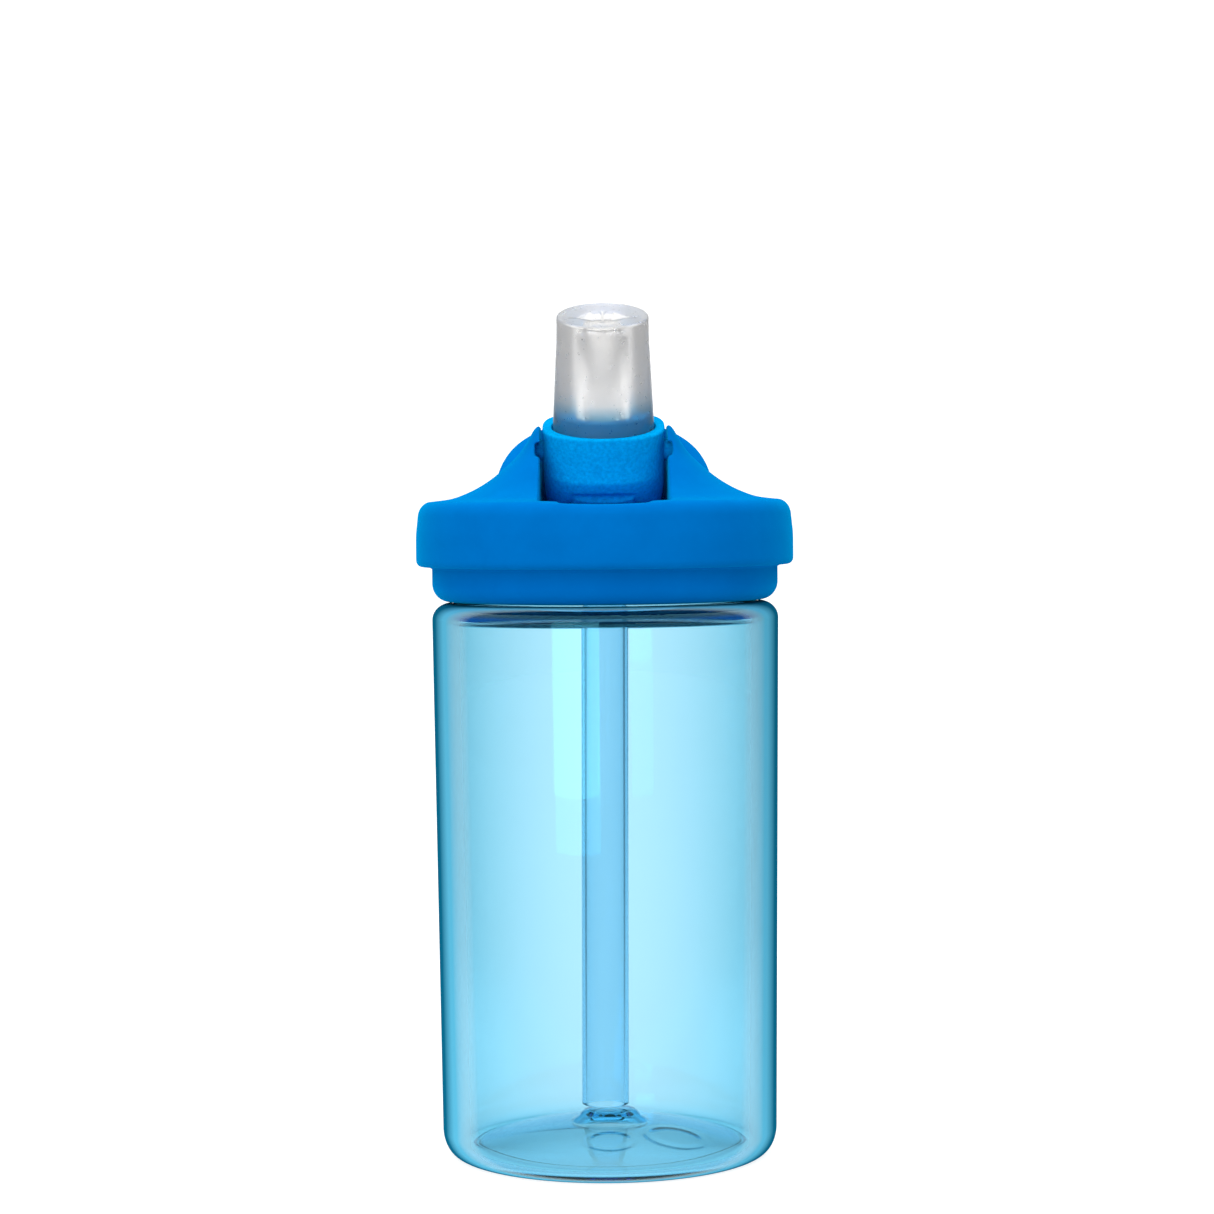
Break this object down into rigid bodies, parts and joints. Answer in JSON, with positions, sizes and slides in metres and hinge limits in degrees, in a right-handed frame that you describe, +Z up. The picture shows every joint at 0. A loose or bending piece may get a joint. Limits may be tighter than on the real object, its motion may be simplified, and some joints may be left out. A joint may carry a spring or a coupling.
{
  "type": "straw water bottle",
  "caption": "Clear blue straw bottle with a screw lid, a fixed carry loop and a soft bite valve on a spout that folds down.",
  "frame": {"origin": "centre of the ring that the bottle stands on", "axes": "+Z up along the bottle, -Y the front, towards which the open spout leans, +X to the viewer's right"},
  "size_m": [0.0806, 0.0809, 0.181],
  "materials": {
    "bottle_body": "clear, tinted blue, polished",
    "inner_cap": "moulded, satin",
    "cap_shell": "moulded, satin",
    "flip_spout": "fine texture",
    "bite_valve": "frosted silicone",
    "straw": "clear",
    "lid_gasket": "silicone",
    "spout_seal": "silicone",
    "vent_valve": "silicone"
  },
  "bodies": {
    "bottle": {"bottle_body": "bottle_body"},
    "lid_lift": {"lid_gasket": "lid_gasket"},
    "lid": {"inner_cap": "inner_cap", "cap_shell": "cap_shell", "straw": "straw", "spout_seal": "spout_seal", "vent_valve": "vent_valve"},
    "spout": {"flip_spout": "flip_spout", "bite_valve": "bite_valve"}
  },
  "joints": [
    {"name": "lid_rise", "type": "slide", "parent": "bottle", "child": "lid_lift", "axis": [0, 0, 1], "range_m": [0, 0.0045]},
    {"name": "lid_turn", "type": "hinge", "parent": "lid_lift", "child": "lid", "pos_m": [0, 0, 0], "axis": [0, 0, 1], "range_deg": [0, 360]},
    {"name": "spout_hinge", "type": "hinge", "parent": "lid", "child": "spout", "pos_m": [0, 0, 0.1497], "axis": [1, 0, 0], "range_deg": [0, 75]}
  ],
  "couplings": [
    {"joint": "lid_rise", "follows": "lid_turn", "m_per_rad": 0.000716}
  ]
}
